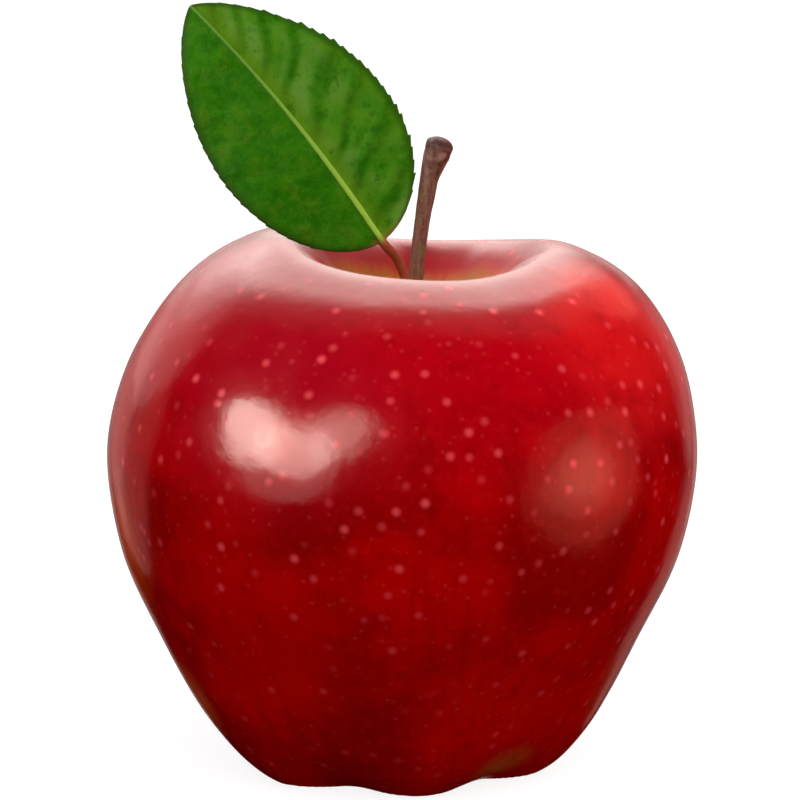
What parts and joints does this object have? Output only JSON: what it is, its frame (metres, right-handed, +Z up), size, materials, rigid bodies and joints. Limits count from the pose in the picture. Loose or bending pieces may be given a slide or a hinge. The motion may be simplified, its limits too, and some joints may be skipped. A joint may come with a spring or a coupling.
{
  "type": "red apple with leaf",
  "caption": "Whole red dessert apple with a lobed base, woody stem, one green leaf and the dried flower remains in the basin underneath.",
  "frame": {"origin": "middle of the apple's base, on the surface it stands on, below its core line", "axes": "+Z up from the base to the stem; -Y is the apple's front, which the leaf faces; the leaf points towards -X"},
  "size_m": [0.0761, 0.0761, 0.0989],
  "materials": {
    "skin": "gloss",
    "stem_bark": "matte",
    "leaf_blade": "satin",
    "dried_calyx": "matte"
  },
  "bodies": {
    "root": {"fruit": "skin", "stem": "stem_bark", "leaf": "leaf_blade", "sepal_1": "dried_calyx", "sepal_2": "dried_calyx", "sepal_3": "dried_calyx", "sepal_4": "dried_calyx", "sepal_5": "dried_calyx", "stamens": "dried_calyx"}
  },
  "joints": []
}
